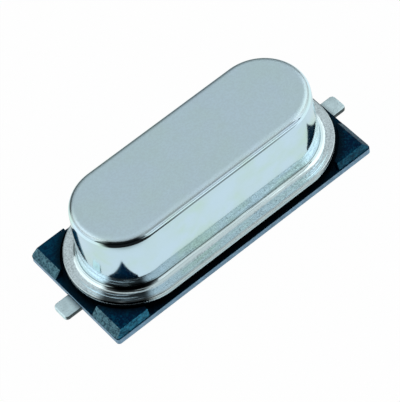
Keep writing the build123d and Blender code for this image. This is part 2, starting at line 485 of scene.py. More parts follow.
@dataclass(frozen=True)
class NickelPlate(Finish):
    """Bright nickel on a drawn can: satin on the flat top, streaked and speckled round the flange, with
    painted shade in the crease, a painted highlight on the foot and a painted dark reflection at the near
    end.
    """

    half_straight: float
    top_height: float
    top_round: float
    flange_height: float
    flange_colour: Colour
    flange_radius: float
    # Where a dark reflection is painted on the foot at the near end.
    dark_reflection_sector: Sector
    warm_tint: Colour = (0.96, 1.0, 0.83)
    cool_tint: Colour = (1.02, 1.02, 1.1)
    foot_highlight_tint: Colour = (1.0, 1.1, 1.12)
    top_tint_loss: float = 0.7
    dull_share: float = 0.55
    painted_dark_share: float = 0.03
    bright_roughness: float = 0.08
    satin_roughness: float = 0.42
    flange_roughness: float = 0.2
    cloud_roughness: float = 0.02
    satin_span: Span = (0.72, 0.98)
    flange_fade: float = 0.03 * MM
    foot_fade: float = 0.3 * MM
    rim_insets: Span = (0.08 * MM, 0.02 * MM)
    rim_wear: float = 0.6
    cloud_size: float = 1.1 * MM
    grain_size: float = 0.035 * MM
    pit_share: float = 0.08
    fleck_size: float = 0.075 * MM
    frost_span: Span = (0.38, 0.62)
    frost_wear: float = 0.12
    speckle_span: Span = (0.38, 0.57)
    speckle_wear: float = 0.75
    speckle_least: float = 0.3
    streak_size: float = 0.035 * MM
    streak_detail: float = 4.0
    streak_span: Span = (0.35, 0.62)
    streak_wear: float = 0.2
    wide_ring_size: float = 0.11 * MM
    wide_ring_detail: float = 1.0
    fine_ring_size: float = 0.055 * MM
    fine_ring_detail: float = 2.0
    dark_reflection_ring_span: Span = (0.56, 0.66)
    dark_reflection_least: float = 0.12
    scuff_drop: float = 0.06 * MM
    scuff_width: float = 0.04 * MM
    scuff_span: Span = (0.4, 0.62)
    scuff_least: float = 0.5
    crease_rise: float = 0.16 * MM
    crease_width: float = 0.045 * MM
    crease_shade: float = 0.65
    wave_size: float = 1.6 * MM
    wave_relief: float = 0.004 * MM
    tooth_relief: float = 0.0035 * MM
    streak_relief: float = 0.003 * MM
    ring_relief: float = 0.014 * MM

    def dress(self, graph: Graph, shader: Node) -> None:
        """Blends the satin top, the bright wall and the streaked flange."""
        rings = ObroundRings.place(graph, Half_Straight=self.half_straight)
        clouds = Blotches.place(graph, Size=self.cloud_size)
        grain = Grain.place(graph, Size=self.grain_size, Pit_Share=self.pit_share)
        flecks = Grain.place(graph, Size=self.fleck_size)["Height"]
        height, along = rings["Height"], rings["Streak Vector"]
        on_top = graph.ramp(height, *(self.top_height + share * self.top_round for share in self.satin_span))
        on_flange = graph.ramp(height, self.flange_height, self.flange_height + self.flange_fade, 1.0, 0.0)
        on_foot = graph.ramp(height, self.flange_height, self.flange_height + self.foot_fade, 1.0, 0.0)
        on_rim = graph.ramp(rings["Distance"], *(self.flange_radius - inset for inset in self.rim_insets))
        streaks = graph.noise(along, 1.0 / self.streak_size, self.streak_detail)
        wide_rings = graph.noise(along, 1.0 / self.wide_ring_size, self.wide_ring_detail)
        fine_rings = graph.noise(along, 1.0 / self.fine_ring_size, self.fine_ring_detail)
        streak_mask = graph.product(graph.ramp(streaks, *self.streak_span), on_flange)

        dull = darker(self.flange_colour, self.dull_share)
        painted_dark = darker(self.flange_colour, self.painted_dark_share)
        frost = graph.product(graph.ramp(flecks, *self.frost_span, 0.0, self.frost_wear), on_top)
        frosted = graph.blend(frost, self.tinted(graph, clouds, on_top, on_foot), dull)
        welded = graph.blend(on_flange, frosted, self.flange_colour)
        worn = graph.blend(graph.product(streak_mask, self.streak_wear), welded, dull)
        patchy = graph.between(clouds["Mask"], self.speckle_least, 1.0)
        speckle = graph.ramp(flecks, *self.speckle_span, self.speckle_wear, 0.0)
        speckled = graph.blend(graph.product(speckle, patchy, on_flange), worn, dull)
        pits = graph.product(grain["Pits"], graph.math("MAXIMUM", on_flange, on_rim))
        rubbed = graph.math("MULTIPLY_ADD", on_rim, self.rim_wear, pits)
        pitted = graph.blend(graph.math("MINIMUM", rubbed, 1.0), speckled, dull)
        edge_level = self.top_height + self.top_round - self.scuff_drop
        edge_line = self.line(graph, height, edge_level, self.scuff_width)
        scuff = graph.product(edge_line, graph.ramp(grain["Height"], *self.scuff_span, self.scuff_least, 1.0))
        marked = graph.blend(scuff, pitted, dull)
        # Painted shade: a dark line in the crease between the flare and the flange.
        crease = self.line(graph, height, self.flange_height + self.crease_rise, self.crease_width)
        crease_shaded = graph.blend(graph.product(crease, self.crease_shade), marked, painted_dark)
        # Painted dark reflection: the foot at the near end turns nearly black, broken by rings.
        reflection_rings = graph.ramp(fine_rings, *self.dark_reflection_ring_span, 1.0, self.dark_reflection_least)
        dark_reflection = graph.product(self.dark_reflection_share(graph, height), reflection_rings)
        reflection_painted = graph.blend(dark_reflection, crease_shaded, painted_dark)

        satin = graph.between(on_top, self.bright_roughness, self.satin_roughness)
        streaked = graph.math("MULTIPLY_ADD", streak_mask, self.flange_roughness, satin)
        clouded = graph.math("MULTIPLY_ADD", clouds["Mask"], self.cloud_roughness, streaked)

        waves = graph.noise(graph.object_position(), 1.0 / self.wave_size, 0.0)
        wavy = graph.bump(waves, self.wave_relief)
        toothed = graph.bump(graph.product(grain["Height"], on_top), self.tooth_relief, wavy)
        streaky = graph.bump(graph.product(streaks, on_flange), self.streak_relief, toothed)
        ringed = graph.bump(graph.product(wide_rings, on_foot), self.ring_relief, streaky)
        graph.fill(shader, Metallic=1.0, Base_Color=reflection_painted, Roughness=clouded, Normal=ringed)

    def tinted(self, graph: Graph, clouds: object, on_top: object, on_foot: object) -> Socket:
        """The plate's colour with faint warm and cool clouds, and a painted highlight on the foot.

        Args:
            graph: the material's graph.
            clouds: the outputs of the blotches.
            on_top: how far a point lies on the flat top.
            on_foot: how far a point lies at the foot of the wall.

        Returns:
            The colour.
        """
        faint = graph.between(on_top, 1.0, 1.0 - self.top_tint_loss)
        warm = tinged(self.colour, self.warm_tint)
        cool = tinged(self.colour, self.cool_tint)
        warmed = graph.blend(graph.product(clouds["Mask"], faint), self.colour, warm)
        cooled = graph.blend(graph.product(clouds["Second Mask"], faint), warmed, cool)
        # Painted highlight: the foot of the wall is brighter and bluer.
        return graph.blend(on_foot, cooled, tinged(self.flange_colour, self.foot_highlight_tint))

    def dark_reflection_share(self, graph: Graph, height: object) -> Socket:
        """How far a point lies in the stretch of the foot where a dark reflection is painted."""
        x, y, _ = graph.split(graph.object_position())
        return self.dark_reflection_sector.share(graph, graph.math("ADD", x, self.half_straight), y, height)

    @staticmethod
    def line(graph: Graph, height: object, level: float, width: float) -> Socket:
        """A soft line round the can at a level.

        Args:
            graph: the material's graph.
            height: the point's height.
            level: the height of the line.
            width: how far it reaches to each side.

        Returns:
            1 on the line and 0 away from it.
        """
        away = graph.math("ABSOLUTE", graph.math("SUBTRACT", height, level))
        return graph.ramp(away, 0.0, width, 1.0, 0.0)


@dataclass(frozen=True)
class PlatedMetal(Finish):
    """Dull plated metal with faint clouds and a fine tooth."""

    roughness: float = 0.35
    roughness_spread: float = 0.2
    grain_size: float = 0.04 * MM
    grain_depth: float = 0.002 * MM
    pit_share: float = 0.12
    pit_wear: float = 0.6
    dull_share: float = 0.75
    cloud_size: float = 0.3 * MM
    cloud_share: float = 0.5

    def dress(self, graph: Graph, shader: Node) -> None:
        """Clouds and pits the colour, and gives the gloss and the surface their grain."""
        clouds = Blotches.place(graph, Size=self.cloud_size)
        grain = Grain.place(graph, Size=self.grain_size, Pit_Share=self.pit_share)
        dull = darker(self.colour, self.dull_share)
        clouded = graph.blend(graph.product(clouds["Mask"], self.cloud_share), self.colour, dull)
        pitted = graph.blend(graph.product(grain["Pits"], self.pit_wear), clouded, dull)
        least = self.roughness - self.roughness_spread / 2
        rough = graph.between(grain["Height"], least, least + self.roughness_spread)
        bent = graph.bump(grain["Height"], self.grain_depth)
        coloured = self.darkened(graph, pitted)
        graph.fill(shader, Metallic=1.0, Base_Color=coloured, Roughness=rough, Normal=bent)

    def darkened(self, graph: Graph, colour: Socket) -> Socket:
        """The colour with the painted shade that a finish adds, of which plain plate has none."""
        return colour


@dataclass(frozen=True)
class TinnedLead(PlatedMetal):
    """Dull tin on a coined lead, with painted shade on its sides and on the part close to the plate."""

    plate_end: float = 5.7 * MM
    plate_shade_reach: float = 0.26 * MM
    plate_shade_share: float = 0.55
    side_shade_span: Span = (0.45, 0.8)
    side_shade_share: float = 0.95
    shade_colour_share: float = 0.04

    def darkened(self, graph: Graph, colour: Socket) -> Socket:
        """Paints shade on the sides and on the part that comes out from under the plate."""
        normal_y = graph.split(graph.add("ShaderNodeNewGeometry").outputs["Normal"])["Y"]
        # Painted shade on the sides that face along Y, and on the part close to the plate.
        cut = graph.ramp(graph.math("ABSOLUTE", normal_y), *self.side_shade_span, 0.0, self.side_shade_share)
        along = graph.math("ABSOLUTE", graph.split(graph.object_position())["X"])
        plate_shade = graph.ramp(along, self.plate_end, self.plate_end + self.plate_shade_reach, self.plate_shade_share, 0.0)
        shade_colour = darker(self.colour, self.shade_colour_share)
        return graph.blend(graph.math("MAXIMUM", cut, plate_shade), colour, shade_colour)


@dataclass(frozen=True)
class Moulding(Finish):
    """Black moulded plastic with a mottled rough skin and rubbed ends, with painted light towards one corner,
    painted shade round the can and a painted reflection on the slab's sides.
    """

    lit_corner_colour: Colour
    rim_reflection_colour: Colour
    rubbed_colour: Colour
    side_colour: Colour
    sheen_colour: Colour
    slab_top: float
    half_straight: float
    flange_radius: float
    specular: float = 0.2
    roughness: float = 0.32
    roughness_spread: float = 0.25
    rubbed_roughness: float = 0.2
    grain_size: float = 0.045 * MM
    grain_share: float = 0.5
    pit_share: float = 0.14
    pit_depth: float = 0.3
    fleck_size: float = 0.11 * MM
    cloud_size: float = 0.25 * MM
    cloud_share: float = 0.2
    relief: float = 0.05 * MM
    relief_least: float = 0.3
    upright_span: Span = (0.35, 0.7)
    facing_span: Span = (0.2, 0.6)
    speckle_span: Span = (0.38, 0.62)
    speckle_least: float = 0.2
    mottle_span: Span = (0.44, 0.6)
    mottle_range: Span = (-0.35, 1.05)
    lit_corner_span: Span = (2.5 * MM, 7.0 * MM)
    lit_corner_share: float = 0.65
    worn_span: Span = (-3.0 * MM, 3.0 * MM)
    worn_least: float = 0.2
    side_least: float = 0.3
    bay_shade_reach: Span = (0.1 * MM, 0.5 * MM)
    bay_shade_share: float = 0.9
    under_flange_shade_share: float = 0.95

    def dress(self, graph: Graph, shader: Node) -> None:
        """Mottles the skin with painted light, paints shade by the can, paints a reflection on the rim, and
        lightens the wedges' ends and sides.
        """
        grain = Grain.place(graph, Size=self.grain_size, Pit_Share=self.pit_share)
        flecks = Grain.place(graph, Size=self.fleck_size)["Height"]
        clouds = Blotches.place(graph, Size=self.cloud_size)
        distance = ObroundRings.place(graph, Half_Straight=self.half_straight)["Distance"]
        away = graph.math("SUBTRACT", distance, self.flange_radius)
        normal = graph.add("ShaderNodeNewGeometry").outputs["True Normal"]
        normal_x, normal_y, normal_z = graph.split(normal)
        x, y, height = graph.split(graph.object_position())
        low = graph.math("LESS_THAN", height, self.slab_top)
        high = graph.math("SUBTRACT", 1.0, low)
        upright = graph.ramp(graph.math("ABSOLUTE", normal_z), *self.upright_span, 1.0, 0.0)
        ends = graph.ramp(graph.product(normal_x, graph.math("SIGN", x)), *self.facing_span)
        sides = graph.ramp(graph.product(normal_y, graph.math("SIGN", y)), *self.facing_span)
        coarse = graph.product(flecks, 1.0 - self.grain_share)
        rough_skin = graph.math("MULTIPLY_ADD", grain["Height"], self.grain_share, coarse)
        speckle = graph.ramp(rough_skin, *self.speckle_span, self.speckle_least, 1.0)
        worn_end = graph.ramp(x, *self.worn_span, 1.0, self.worn_least)
        rubbed = graph.product(ends, high, worn_end)

        # Painted light: the skin grows paler towards the corner at -X and +Y, mixed with the real mottle.
        pale = graph.ramp(graph.math("SUBTRACT", y, x), *self.lit_corner_span)
        flecked = graph.ramp(rough_skin, *self.mottle_span, *self.mottle_range)
        mottle_and_light = graph.math("MULTIPLY_ADD", pale, self.lit_corner_share, flecked)
        unshaded_skin = graph.blend(mottle_and_light, self.colour, self.lit_corner_colour)
        # Painted shade: the skin goes dark towards the can's flange.
        skin = graph.blend(graph.ramp(away, *self.bay_shade_reach, self.bay_shade_share, 0.0), unshaded_skin, BLACK)
        side_wear = graph.between(worn_end, self.side_least, 1.0)
        sided = graph.blend(graph.product(sides, high, speckle, side_wear), skin, self.side_colour)
        scuffed = graph.blend(graph.product(rubbed, speckle), sided, self.rubbed_colour)
        # Painted shade: nearly black right under the flange.
        under_flange_shade = graph.ramp(away, 0.0, self.bay_shade_reach[0], self.under_flange_shade_share, 0.0)
        flange_shaded = graph.blend(under_flange_shade, scuffed, BLACK)
        # Painted reflection: the slab's upright sides are light blue.
        cloudy = graph.between(clouds["Mask"], 1.0 - self.cloud_share, 1.0)
        rim_reflected = graph.blend(graph.product(upright, low, cloudy), flange_shaded, self.rim_reflection_colour)

        rough = graph.math("MULTIPLY_ADD", grain["Height"], self.roughness_spread, self.roughness)
        rougher = graph.math("MULTIPLY_ADD", rubbed, self.rubbed_roughness, rough)
        pitted = graph.math("SUBTRACT", flecks, graph.product(grain["Pits"], self.pit_depth))
        depth = graph.between(rubbed, self.relief_least, 1.0)
        bent = graph.bump(graph.product(pitted, depth), self.relief)
        graph.fill(shader, Specular_IOR_Level=self.specular, Specular_Tint=(*self.sheen_colour, 1.0))
        graph.fill(shader, Base_Color=rim_reflected, Roughness=rougher, Normal=bent)


@dataclass(frozen=True)
class ClearSolid(Finish):
    """Glass or quartz: see-through, with a faint lapped or fused skin."""

    roughness: float = 0.1
    roughness_spread: float = 0.1
    index: float = 1.5
    skin_size: float = 0.03 * MM
    skin_depth: float = 0.001 * MM

    def dress(self, graph: Graph, shader: Node) -> None:
        """Sets the transmission and a little skin texture."""
        skin = Grain.place(graph, Size=self.skin_size)["Height"]
        rough = graph.math("MULTIPLY_ADD", skin, self.roughness_spread, self.roughness)
        bent = graph.bump(skin, self.skin_depth)
        graph.fill(shader, Transmission_Weight=1.0, IOR=self.index, Roughness=rough, Normal=bent)


@dataclass
class Section:
    """Half section of an obround piece, as points of radius and height from the axis out and back."""

    points: list[Point2] = field(default_factory=list)
    support: float = 0.012 * MM
    least_run: int = 3

    def start(self, radius: float, height: float) -> Section:
        """Puts the first point down."""
        self.points.append((radius, height))
        return self

    def line(self, radius: float, height: float) -> Section:
        """Adds a straight run with a supporting point close to each end, so that flats shade flat.

        Args:
            radius: where the run ends.
            height: where the run ends.

        Returns:
            The section itself.
        """
        first, last = Vector(self.points[-1]), Vector((radius, height))
        length = (last - first).length
        if length > self.least_run * self.support:
            step = (last - first) * (self.support / length)
            self.points += [tuple(first + step), tuple(last - step)]
        self.points.append((radius, height))
        return self

    def arc(self, centre: Point2, radius: float, begin: float, end: float, steps: int) -> Section:
        """Adds an arc that starts at the last point.

        Args:
            centre: the arc's centre.
            radius: its radius.
            begin: the angle of the last point, in degrees.
            end: the angle where the arc ends.
            steps: how many chords it has.

        Returns:
            The section itself.
        """
        self.points += arc_points(centre, radius, begin, end, steps)[1:]
        return self


class ObroundSweep:
    """Geometry Nodes tree that carries a half section round an obround middle line."""

    tree_name: str = "obround_sweep"
    end_steps: int = 96
    extra_columns: int = 3
    sharp_angle: float = math.radians(35)
    inputs: dict[str, str] = {
        "Section": "Geometry",
        "Half Straight": "Float",
        "Support": "Float",
        "End Steps": "Int",
        "Sharp Angle": "Float",
        "Merge Distance": "Float",
        "Finish": "Material",
    }

    def __init__(self) -> None:
        """Builds the tree."""
        self.tree = bpy.data.node_groups.new(self.tree_name, "GeometryNodeTree")
        self.tree.is_modifier = True
        self.identifiers: dict[str, str] = {}
        face = self.tree.interface
        for label, kind in self.inputs.items():
            socket = face.new_socket(name=label, in_out="INPUT", socket_type=f"NodeSocket{kind}")
            self.identifiers[label] = socket.identifier
        face.new_socket(name="Piece", in_out="OUTPUT", socket_type="NodeSocketGeometry")
        self._build()

    def _build(self) -> None:
        """Adds the nodes: a grid whose columns turn round the outline and whose rows follow the section."""
        graph = Graph(self.tree)
        given = graph.add("NodeGroupInput").outputs
        rows = graph.add("GeometryNodeAttributeDomainSize", component="MESH")
        row_count = graph.fill(rows, Geometry=given["Section"])["Point Count"]
        per_end = graph.math("ADD", given["End Steps"], self.extra_columns)
        columns = graph.product(per_end, 2)
        grid = graph.add("GeometryNodeMeshGrid")
        graph.fill(grid, Vertices_X=graph.math("ADD", columns, 1), Vertices_Y=row_count)

        # Halves keep whole numbers off the limits they are compared with.
        index = graph.add("GeometryNodeInputIndex").outputs[0]
        passed_columns = graph.math("DIVIDE", graph.math("ADD", index, 0.5), row_count)
        column = graph.math("FLOORED_MODULO", graph.math("FLOOR", passed_columns), columns)
        row = graph.math("FLOORED_MODULO", index, row_count)
        on_left = graph.math("GREATER_THAN", column, graph.math("SUBTRACT", per_end, 0.5))
        local = graph.math("SUBTRACT", column, graph.product(on_left, per_end))
        past_first = graph.math("MAXIMUM", graph.math("SUBTRACT", local, 1), 0)
        turn = graph.math("MINIMUM", past_first, given["End Steps"])
        half_turns = graph.math("ADD", graph.math("DIVIDE", turn, given["End Steps"]), on_left)
        angle = graph.math("MULTIPLY_ADD", half_turns, math.pi, -math.pi / 2)
        first = graph.math("LESS_THAN", local, 0.5)
        last = graph.math("GREATER_THAN", local, graph.math("ADD", given["End Steps"], 1.5))
        held_back = graph.product(graph.math("ADD", first, last), given["Support"])
        reach = graph.math("SUBTRACT", given["Half Straight"], held_back)
        centre = graph.product(reach, graph.math("MULTIPLY_ADD", on_left, -2, 1))

        sample = graph.add("GeometryNodeSampleIndex", data_type="FLOAT_VECTOR", domain="POINT")
        position = graph.add("GeometryNodeInputPosition").outputs[0]
        sampled = graph.fill(sample, Geometry=given["Section"], Value=position, Index=row)
        radius, _, height = graph.split(sampled[0])
        x = graph.math("MULTIPLY_ADD", radius, graph.math("COSINE", angle), centre)
        y = graph.product(radius, graph.math("SINE", angle))
        placed = graph.add("GeometryNodeSetPosition")
        graph.fill(placed, Geometry=grid.outputs["Mesh"], Position=graph.join(x, y, height))

        merged = graph.add("GeometryNodeMergeByDistance")
        graph.fill(merged, Geometry=placed.outputs[0], Distance=given["Merge Distance"])
        smooth = graph.add("GeometryNodeSetShadeSmooth", domain="FACE")
        graph.fill(smooth, Geometry=merged.outputs[0])
        bend = graph.add("GeometryNodeInputMeshEdgeAngle").outputs["Unsigned Angle"]
        compare = graph.add("FunctionNodeCompare", data_type="FLOAT", operation="GREATER_THAN")
        folded = graph.fill(compare, bend, given["Sharp Angle"])[0]
        sharp = graph.add("GeometryNodeSetShadeSmooth", domain="EDGE")
        graph.fill(sharp, Geometry=smooth.outputs[0], Selection=folded, Shade_Smooth=False)
        plain = graph.add("GeometryNodeRealizeInstances")
        graph.fill(plain, Geometry=sharp.outputs[0])
        finished = graph.add("GeometryNodeSetMaterial")
        graph.fill(finished, Geometry=plain.outputs[0], Material=given["Finish"])
        graph.fill(graph.add("NodeGroupOutput"), Piece=finished.outputs[0])

    def make(
        self, name: str, section: Section, half_straight: float, finish: bpy.types.Material
    ) -> Piece:
        """Sweeps a section.

        Args:
            name: the new object's name.
            section: the half section.
            half_straight: half the length of the middle line.
            finish: the material of the piece.

        Returns:
            An object with a plain mesh.
        """
        mesh = bpy.data.meshes.new(name)
        chain = [(i, i + 1) for i in range(len(section.points) - 1)]
        mesh.from_pydata([(radius, 0, height) for radius, height in section.points], chain, [])
        piece = add_object(name, mesh)
        modifier = piece.modifiers.new("sweep", "NODES")
        modifier.node_group = self.tree
        for label, value in (
            ("Half Straight", half_straight),
            ("Support", section.support),
            ("End Steps", self.end_steps),
            ("Sharp Angle", self.sharp_angle),
            ("Merge Distance", MERGE_DISTANCE),
            ("Finish", finish),
        ):
            modifier[self.identifiers[label]] = value
        return settle(piece)


def add_object(name: str, data: bpy.types.ID) -> Piece:
    """Makes an object of a mesh, a lamp or a camera and links it to the scene."""
    made = bpy.data.objects.new(name, data)
    bpy.context.scene.collection.objects.link(made)
    return made


def settle(piece: Piece) -> Piece:
    """Turns an object's modifiers into its own plain mesh.

    Args:
        piece: the object, at the origin.

    Returns:
        The same object.
    """
    depsgraph = bpy.context.evaluated_depsgraph_get()
    depsgraph.update()
    mesh = bpy.data.meshes.new_from_object(
        piece.evaluated_get(depsgraph), preserve_all_data_layers=True, depsgraph=depsgraph
    )
    piece.modifiers.clear()
    piece.data = mesh
    mesh.name = piece.name
    return piece


def face_outwards(piece: Piece) -> Piece:
    """Merges doubles, removes slivers and turns every face of a closed mesh outwards."""
    shell = bmesh.new()
    shell.from_mesh(piece.data)
    bmesh.ops.remove_doubles(shell, verts=shell.verts, dist=MERGE_DISTANCE)
    bmesh.ops.dissolve_degenerate(shell, edges=shell.edges, dist=MERGE_DISTANCE)
    bmesh.ops.recalc_face_normals(shell, faces=shell.faces)
    shell.to_mesh(piece.data)
    shell.free()
    return piece


def new_piece(name: str, shell: Shell) -> Piece:
    """Makes an object of a bmesh and frees the bmesh."""
    mesh = bpy.data.meshes.new(name)
    shell.to_mesh(mesh)
    shell.free()
    return add_object(name, mesh)


def combine(piece: Piece, others: Iterable[Piece], operation: Operation) -> None:
    """Joins closed meshes to a piece, or cuts them from it, and removes them.

    Args:
        piece: the object that stays.
        others: the objects that are used up.
        operation: whether they are added or cut away.
    """
    used = list(others)
    for other in used:
        modifier = piece.modifiers.new("combine", "BOOLEAN")
        modifier.operation = operation.value
        modifier.solver = "MANIFOLD"
        modifier.object = other
    settle(piece)
    for other in used:
        bpy.data.objects.remove(other)
    face_outwards(piece)


def arc_points(centre: Point2, radius: float, begin: float, end: float, steps: int) -> list[Point2]:
    """Points along an arc, both ends included, with angles in degrees."""
    angles = [math.radians(begin + (end - begin) * i / steps) for i in range(steps + 1)]
    return [(centre[0] + radius * math.cos(a), centre[1] + radius * math.sin(a)) for a in angles]


def rounded_rectangle(half_x: float, half_y: float, radius: float, steps: int) -> list[Point2]:
    """Outline of a rectangle with rounded corners, counter-clockwise."""
    points: list[Point2] = []
    for sign_x, sign_y, begin in ((1, 1, 0), (-1, 1, 90), (-1, -1, 180), (1, -1, 270)):
        corner = (sign_x * (half_x - radius), sign_y * (half_y - radius))
        points += arc_points(corner, radius, begin, begin + 90, steps)
    return points


def obround(half_straight: float, radius: float, steps: int = 48) -> list[Point2]:
    """Outline of two half circles joined by straight sides, counter-clockwise."""
    right = arc_points((half_straight, 0), radius, -90, 90, steps)
    left = arc_points((-half_straight, 0), radius, 90, 270, steps)
    return right + left


def bridge(shell: Shell, first: list[bmesh.types.BMVert], second: list[bmesh.types.BMVert]) -> None:
    """Closes the strip between two rings of vertices with faces."""
    for i, vertex in enumerate(first):
        after = (i + 1) % len(first)
        shell.faces.new((vertex, first[after], second[after], second[i]))


def prism(outline: list[Point2], bottom: float, top: float) -> Shell:
    """A closed upright solid.

    Args:
        outline: its plan, counter-clockwise.
        bottom: its lower level.
        top: its upper level.

    Returns:
        The solid as a bmesh.
    """
    shell = bmesh.new()
    lower = [shell.verts.new((x, y, bottom)) for x, y in outline]
    upper = [shell.verts.new((x, y, top)) for x, y in outline]
    shell.faces.new(reversed(lower))
    shell.faces.new(upper)
    bridge(shell, lower, upper)
    return shell


def slice_off(shell: Shell, point: Vector, normal: Vector) -> None:
    """Cuts a solid by a plane and closes it again.

    Args:
        shell: the solid.
        point: a point of the plane.
        normal: the plane's direction; what lies on that side goes.
    """
    parts = [*shell.verts, *shell.edges, *shell.faces]
    cut = bmesh.ops.bisect_plane(
        shell, geom=parts, dist=MERGE_DISTANCE, plane_co=point, plane_no=normal, clear_outer=True
    )
    rim = [part for part in cut["geom_cut"] if isinstance(part, bmesh.types.BMEdge)]
    bmesh.ops.edgeloop_fill(shell, edges=rim)


def round_edges(shell: Shell, radius: float, sharp: float) -> Shell:
    """Rounds every edge of a solid that turns by more than an angle.

    Args:
        shell: the solid.
        radius: the size of the round.
        sharp: the angle in radians.

    Returns:
        The same bmesh.
    """
    edges = [edge for edge in shell.edges if edge.is_manifold and edge.calc_face_angle() > sharp]
    bmesh.ops.bevel(
        shell, geom=edges, offset=radius, offset_type="OFFSET", segments=ROUND_STRIPS, profile=0.5,
        affect="EDGES", clamp_overlap=True,
    )
    return shell


def shade(piece: Piece, sharp: float, weighted: bool = True) -> Piece:
    """Shades a piece smooth between sharp edges, with its flats kept flat.

    Args:
        piece: the object.
        sharp: edges that turn by more than this angle stay sharp.
        weighted: whether normals follow the larger faces.

    Returns:
        The same object.
    """
    piece.data.polygons.foreach_set("use_smooth", [True] * len(piece.data.polygons))
    piece.data.set_sharp_from_angle(angle=sharp)
    if weighted:
        modifier = piece.modifiers.new("flats", "WEIGHTED_NORMAL")
        modifier.keep_sharp = True
        modifier.weight = FLAT_WEIGHT
        settle(piece)
    return piece


def seat_piece(piece: Piece, node: str, finish: bpy.types.Material) -> None:
    """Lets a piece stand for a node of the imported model.

    Args:
        piece: the finished object, at the origin.
        node: the node that it stands for.
        finish: its material.
    """
    piece.data.materials.clear()
    piece.data.materials.append(finish)
    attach(piece, BODY)
    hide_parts(node)
    LOG.info("%s stands for %s, %d faces", piece.name, node, len(piece.data.polygons))


def dress_node(node: str, finish: bpy.types.Material) -> None:
    """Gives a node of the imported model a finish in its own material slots."""
    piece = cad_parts[node]
    for material_slot in piece.material_slots:
        material_slot.material = finish
    LOG.info("%s keeps its mesh, finish %s", node, finish.name)


